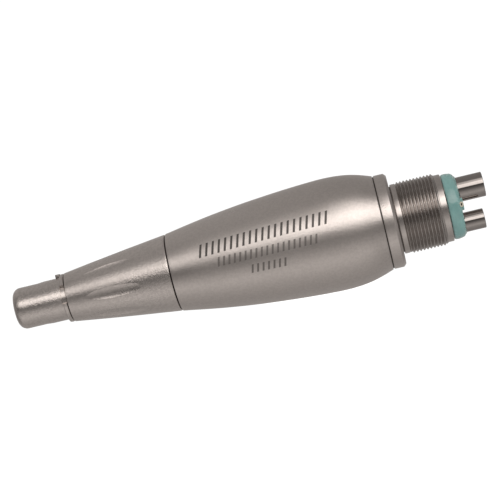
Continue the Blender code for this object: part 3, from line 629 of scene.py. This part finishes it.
def thread_radius(station, angle, radius):
    """A sharp helical thread, which fades out at both of its ends."""
    if radius < THREAD_RADIUS - THREAD_DEPTH - 0.01 or not THREAD_FRONT <= station <= THREAD_REAR:
        return radius
    pitch = (THREAD_REAR - THREAD_FRONT) / THREAD_CRESTS
    turns = (station - THREAD_FRONT) / pitch - angle / TURN
    wave = 1 - abs(2 * (turns % 1) - 1)
    run_out = min(1.0, (station - THREAD_FRONT) / (0.4 * pitch), (THREAD_REAR - station) / (0.4 * pitch))
    return THREAD_RADIUS - THREAD_DEPTH + THREAD_DEPTH * min(0.94, 1.08 * wave) * max(0.0, run_out)


def hose_holes(tube_front, small_front, rear, gap):
    """Rods for the four holes of the hose end, with a gap round the two tubes."""
    return [
        (tube_front, rear, 0.0, EXHAUST_HEIGHT, EXHAUST_RADIUS + gap),
        (tube_front, rear, 0.0, DRIVE_HEIGHT, DRIVE_RADIUS + gap),
        (small_front, rear, SMALL_HOLE_OFFSET, 0.0, SMALL_HOLE_RADIUS),
        (small_front, rear, -SMALL_HOLE_OFFSET, 0.0, SMALL_HOLE_RADIUS),
    ]


def make_coupling():
    """The hose coupling: spigot, neck, thread and rear land, with its sockets and air passages."""
    root = THREAD_RADIUS - THREAD_DEPTH
    groove_front = RING_REAR + 0.02
    groove_rear = RING_REAR + NECK_GROOVE
    groove_floor = NECK_RADIUS - NECK_GROOVE_DEPTH
    rows = THREAD_CRESTS * 12
    thread = [(THREAD_FRONT + (THREAD_REAR - THREAD_FRONT) * row / rows, root) for row in range(rows + 1)]
    neck = [
        (SPIGOT_FRONT, SPIGOT_RADIUS),
        (groove_front, SPIGOT_RADIUS),
        (groove_front, groove_floor),
        (groove_rear, groove_floor),
        (groove_rear, NECK_RADIUS),
        (THREAD_FRONT - 0.1, NECK_RADIUS),
        thread[0],
    ]
    rear_land = [
        thread[-1],
        (THREAD_REAR + 0.12, REAR_LAND_RADIUS),
        (COUPLING_REAR, REAR_LAND_RADIUS),
        (COUPLING_REAR, 0.0),
    ]
    ahead = rounded(neck, size=0.08, closed=False)[:-1]
    behind = rounded(rear_land, size=0.12, closed=False)[1:]
    stations = [(SPIGOT_FRONT, 0.0), *ahead, *thread, *behind]
    piece = new_object("coupling", lathe("coupling", stations, THREADS, thread_radius))
    beyond = COUPLING_REAR + 1.0
    before = SPIGOT_FRONT - 1.0
    cut(piece, rods(hose_holes(EXHAUST_FRONT - SOCKET_GAP, before, beyond, SOCKET_GAP), sides=48))
    passages = [(before, EXHAUST_FRONT + 1.0, 0.0, height, radius) for height, radius in PASSAGES]
    cut(piece, rods(passages, sides=32))
    shade(piece, degrees=40)
    dress(piece, THREADED, "coupling", "satin_steel", "coupling_body")
    paint(piece, SMOOTH, lambda x, r: not THREAD_FRONT - 0.05 < x < THREAD_REAR + 0.1)
    # Painted shade: the floor of the groove between ring and neck gets the faint dark steel.
    paint(piece, FAINT_ETCH_AND_GROOVE_SHADE, lambda x, r: x < groove_rear - 0.02 and r > groove_floor - 0.1)


def make_gasket():
    """The moulded gasket: a rounded disc with a lip round each hole, softened as one skin."""
    station, radius = GASKET_EDGE_MIDDLE
    outline = [(GASKET_FRONT, 0.0), *GASKET_SIDE]
    for step in range(7):
        angle = math.pi / 2 * step / 6
        outline.append((station + GASKET_EDGE * math.sin(angle), radius + GASKET_EDGE * math.cos(angle)))
    outline.append((outline[-1][0], 0.0))
    piece = new_object("gasket", lathe("gasket", outline, MEDIUM))
    lips = [
        (LIP_FRONT, -0.12, 0.0, EXHAUST_HEIGHT - 0.1, EXHAUST_RADIUS + 0.35),
        (LIP_FRONT, -0.2, 0.0, DRIVE_HEIGHT + 0.1, DRIVE_RADIUS + 0.3),
        (LIP_FRONT, 0.12, SMALL_HOLE_OFFSET, 0.0, SMALL_HOLE_RADIUS + 0.5),
        (LIP_FRONT, 0.12, -SMALL_HOLE_OFFSET, 0.0, SMALL_HOLE_RADIUS + 0.5),
    ]
    for lip in lips:
        cut(piece, rods([lip], sides=64), "UNION")
    before, beyond = GASKET_FRONT - 1.0, 1.0
    cut(piece, rods(hose_holes(before, before, beyond, GASKET_GAP), sides=64))
    remesh = piece.modifiers.new("skin", "REMESH")
    remesh.mode = "VOXEL"
    remesh.voxel_size = SKIN_SIZE * MM
    soften = piece.modifiers.new("soften", "SMOOTH")
    soften.factor = 0.5
    soften.iterations = 8
    apply_modifiers(piece)
    piece.data.shade_smooth()
    dress(piece, TEAL, "coupling", "gasket_rubber", "hose_gasket")


def make_vent():
    """The small pale-rimmed vent on the gasket's near rim, which opens backwards and to the side, with a
    black disc down its bore as painted shade inside the hole.
    """
    where = Matrix.Translation(Vector(VENT_PLACE) * MM) @ Matrix.Rotation(VENT_TURN, 4, "Z")
    rim = [(-VENT_LENGTH, VENT_RADIUS), (0.0, VENT_RADIUS), (0.0, VENT_BORE), (-VENT_LENGTH, VENT_BORE)]
    # Painted shade: a black rubber disc a little way down the bore stands in for the shade inside the hole.
    hole_shade_radius = VENT_BORE + 0.02
    hole_shade = [(-0.6, 0.0), (-0.6, hole_shade_radius), (-0.12, hole_shade_radius), (-0.12, 0.0)]
    for name, look, outline in (("vent_rim", CREAM, rim), ("vent_hole_shade", BLACK, hole_shade)):
        mesh = lathe(name, rounded(outline, size=0.1, closed=look is CREAM), COARSE)
        mesh.transform(where)
        dress(shade(new_object(name, mesh), degrees=50), look, "coupling", "gasket_rubber")


def make_tube(name, node, height, radius, bore, end):
    """A polished tube with rounded rims, pressed into the coupling."""
    outline = [(EXHAUST_FRONT, radius), (end, radius), (end, bore), (EXHAUST_FRONT, bore)]
    piece = new_object(name, lathe(name, rounded(outline, size=0.14, steps=6), COARSE, height=height))
    shade(piece)
    dress(piece, POLISHED, "coupling", "bright_steel", node)


# ---------------------------------------------------------------- the output, seen down the nose


def make_collet():
    """The slit collet that grips the prophy angle's shank, seen down the nose."""
    outline = [
        (-73.7, 1.7),
        (-73.5, 2.2),
        (-73.05, 2.2),
        (-73.05, 1.85),
        (-63.3, 1.85),
        (-63.3, 1.18),
        (-73.4, 1.18),
        (-73.7, 1.35),
    ]
    piece = new_object("chuck_collet", lathe("chuck_collet", rounded(outline, size=0.06), COARSE))
    slits = [((-75.0, -0.15, 0.0), (-66.0, 0.15, 4.0), TURN * slit / 3) for slit in range(3)]
    cut(piece, blocks(slits))
    shade(piece)
    dress(piece, GROUND, "output", "bright_steel", "collet")


def make_spindle():
    """The hollow output spindle, which holds the collet."""
    outline = [
        (-72.9, 2.35),
        (-62.8, 2.35),
        (-61.2, 1.45),
        (-45.4, 1.45),
        (-45.4, 0.9),
        (-62.6, 0.9),
        (-63.0, 1.95),
        (-72.9, 1.95),
    ]
    piece = new_object("spindle", lathe("spindle", rounded(outline, size=0.08), COARSE))
    shade(piece)
    dress(piece, DARK, "output", "hardened_steel", "output_spindle")


# ---------------------------------------------------------------- materials of the kept nodes

SLOT_LOOKS = {
    "satin_steel": SATIN,
    "bright_steel": GROUND,
    "hardened_steel": DARK,
    "gasket_rubber": TEAL,
    "black_rubber": BLACK,
    "vane_resin": RESIN,
}


def dress_kept_nodes():
    """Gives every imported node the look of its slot."""
    slots = {entry["node"]: entry["material_slot"] for entry in frame["record"]["subparts"]}
    for name, node in frame["nodes"].items():
        node.data.materials.clear()
        node.data.materials.append(SLOT_LOOKS[slots[name]])


# ---------------------------------------------------------------- studio


def ramp(tree, source, points):
    """A number that runs smoothly through (position, value) points, with positions from 0 to 1."""
    made = tree.nodes.new("ShaderNodeValToRGB")
    made.color_ramp.interpolation = "EASE"
    elements = made.color_ramp.elements
    elements[0].position = points[0][0]
    elements[1].position = points[-1][0]
    for position, _ in points[1:-1]:
        elements.new(position)
    for element, (_, value) in zip(elements, points):
        element.color = (value, value, value, 1.0)
    tree.links.new(source, made.inputs["Fac"])
    return made.outputs["Color"]


def arithmetic(tree, operation, *values):
    """One operation on numbers or sockets."""
    made = tree.nodes.new("ShaderNodeMath")
    made.operation = operation
    for socket, value in zip(made.inputs, values):
        if isinstance(value, float):
            socket.default_value = value
        else:
            tree.links.new(value, socket)
    return made.outputs["Value"]


# The studio's panels, as what shines from each direction: brightness, then how it falls off by the angle
# about the handpiece's axis in degrees (0 towards the camera, 90 straight up), then by how far the direction
# leans to +X, from -1 to 1.
ROOM = (
    0.68,
    (
        (-180, 0.68),
        (-110, 0.58),
        (-85, 0.7),
        (-52, 1.02),
        (-38, 0.82),
        (-28, 0.64),
        (-19, 0.42),
        (-6, 0.26),
        (3, 0.14),
        (14, 0.5),
        (75, 0.46),
        (130, 0.5),
        (180, 0.68),
    ),
    ((-1.0, 0.55), (-0.75, 0.75), (-0.5, 1.0), (0.35, 1.0), (0.6, 0.73), (1.0, 0.75)),
)
KEY = (
    2.05,
    ((6, 0.0), (15, 1.0), (33, 1.0), (46, 0.0)),
    ((-0.4, 0.0), (-0.28, 0.55), (-0.14, 0.76), (0.0, 0.8), (0.33, 1.0), (0.62, 0.72), (1.0, 0.4)),
)
KEY_ON_CONE = (
    2.0,
    ((12, 0.0), (21, 1.0), (37, 1.0), (50, 0.0)),
    ((-0.9, 0.1), (-0.46, 0.32), (-0.38, 0.36), (-0.24, 0.0), (1.0, 0.0)),
)
UPPER_LEFT = (
    0.08,
    ((70, 0.0), (95, 1.0), (140, 1.0), (180, 0.4)),
    ((-0.7, 1.0), (-0.2, 1.0), (-0.05, 0.0), (1.0, 0.0)),
)
UPPER_RIGHT = (
    1.55,
    ((26, 0.0), (44, 1.0), (52, 1.0), (68, 0.0)),
    ((-0.2, 0.0), (0.0, 0.26), (0.15, 0.6), (0.3, 0.78), (0.55, 0.9), (0.8, 0.7), (1.0, 0.35)),
)
PANELS = (ROOM, KEY, KEY_ON_CONE, UPPER_LEFT, UPPER_RIGHT)
BACKDROP = 1.05  # what the camera sees behind the handpiece
SOFT_FILL = 0.58  # what matt surfaces are lit by, the same from all sides
WARM_LIGHT = (1.012, 0.96, 0.925, 1.0)
FLOOR_SIZE = 3.0
FLOOR_HEIGHT = -0.09


def panel(tree, angle_share, lean_share, strength, by_angle, by_lean):
    """The brightness of one panel in the direction that the two shares, from 0 to 1, give."""
    around = ramp(tree, angle_share, [((degrees + 180) / 360, value) for degrees, value in by_angle])
    along = ramp(tree, lean_share, [((lean + 1) / 2, value) for lean, value in by_lean])
    return arithmetic(tree, "MULTIPLY", arithmetic(tree, "MULTIPLY", around, along), strength)


def make_world():
    """Panels that the metal mirrors, plain light for matt surfaces and a white backdrop for the camera."""
    world = bpy.data.worlds.new("studio")
    bpy.context.scene.world = world
    world.use_nodes = True
    tree = world.node_tree
    place = tree.nodes.new("ShaderNodeTexCoord")
    parts = tree.nodes.new("ShaderNodeSeparateXYZ")
    tree.links.new(place.outputs["Generated"], parts.inputs["Vector"])
    towards_camera = arithmetic(tree, "MULTIPLY", parts.outputs["Y"], -1.0)
    angle = arithmetic(tree, "ARCTAN2", parts.outputs["Z"], towards_camera)
    angle_share = spread(tree, angle, 0.0, 1.0, -math.pi, math.pi)
    lean_share = spread(tree, parts.outputs["X"], 0.0, 1.0, -1.0, 1.0)
    light = 0.0
    for entry in PANELS:
        light = arithmetic(tree, "ADD", panel(tree, angle_share, lean_share, *entry), light)
    panels = tree.nodes["Background"]
    panels.inputs["Color"].default_value = WARM_LIGHT
    tree.links.new(light, panels.inputs["Strength"])
    ray = tree.nodes.new("ShaderNodeLightPath")
    seen = panels.outputs["Background"]
    for kind, strength in (("Is Diffuse Ray", SOFT_FILL), ("Is Camera Ray", BACKDROP)):
        plain = tree.nodes.new("ShaderNodeBackground")
        plain.inputs["Color"].default_value = (1.0, 1.0, 1.0, 1.0)
        plain.inputs["Strength"].default_value = strength
        mixed = tree.nodes.new("ShaderNodeMixShader")
        tree.links.new(ray.outputs[kind], mixed.inputs["Fac"])
        tree.links.new(seen, mixed.inputs[1])
        tree.links.new(plain.outputs["Background"], mixed.inputs[2])
        seen = mixed.outputs["Shader"]
    tree.links.new(seen, tree.nodes["World Output"].inputs["Surface"])


def make_floor():
    """A wide pale floor under the handpiece."""
    shape = bmesh.new()
    bmesh.ops.create_grid(shape, x_segments=1, y_segments=1, size=FLOOR_SIZE)
    floor = new_object("floor", mesh_from("floor", shape))
    floor.location = (0.0, 0.0, FLOOR_HEIGHT)
    made, tree, shader = shader_nodes("pale_floor")
    shader.inputs["Base Color"].default_value = (0.9, 0.895, 0.885, 1.0)
    shader.inputs["Roughness"].default_value = 0.9
    shader.inputs["Emission Color"].default_value = (1.0, 0.995, 0.99, 1.0)
    shader.inputs["Emission Strength"].default_value = 0.7
    floor.data.materials.append(made)
    floor.visible_glossy = False
    floor.visible_diffuse = False


# In metres, as the frame is.
CAMERA_PLACE = (-0.0149, -0.313, 0.0)
CAMERA_AIM = (-0.0355, 0.0, 0.0007)
CAMERA_ROLL = math.radians(-13.4)
LENS = 137.0


def make_camera():
    """The camera, rolled so that the nose dips to the left."""
    data = bpy.data.cameras.new("camera")
    data.lens = LENS
    data.sensor_width = 36.0
    data.clip_start = 0.01
    camera = bpy.data.objects.new("camera", data)
    bpy.context.scene.collection.objects.link(camera)
    camera.location = CAMERA_PLACE
    camera.rotation_mode = "QUATERNION"
    look = (Vector(CAMERA_AIM) - Vector(CAMERA_PLACE)).to_track_quat("-Z", "Y")
    camera.rotation_quaternion = look @ Matrix.Rotation(CAMERA_ROLL, 3, "Z").to_quaternion()
    bpy.context.scene.camera = camera


dress_kept_nodes()
make_barrel()
make_rear_ring()
make_cone()
make_sleeve()
make_key()
make_marks()
make_coupling()
make_gasket()
make_vent()
make_tube("exhaust_pipe", "exhaust_tube", EXHAUST_HEIGHT, EXHAUST_RADIUS, EXHAUST_BORE, TUBE_END)
make_tube("drive_air_pipe", "drive_air_tube", DRIVE_HEIGHT, DRIVE_RADIUS, DRIVE_BORE, DRIVE_END)
make_collet()
make_spindle()
make_world()
make_floor()
make_camera()

scene = bpy.context.scene
scene.view_settings.view_transform = "Standard"
scene.view_settings.look = "None"
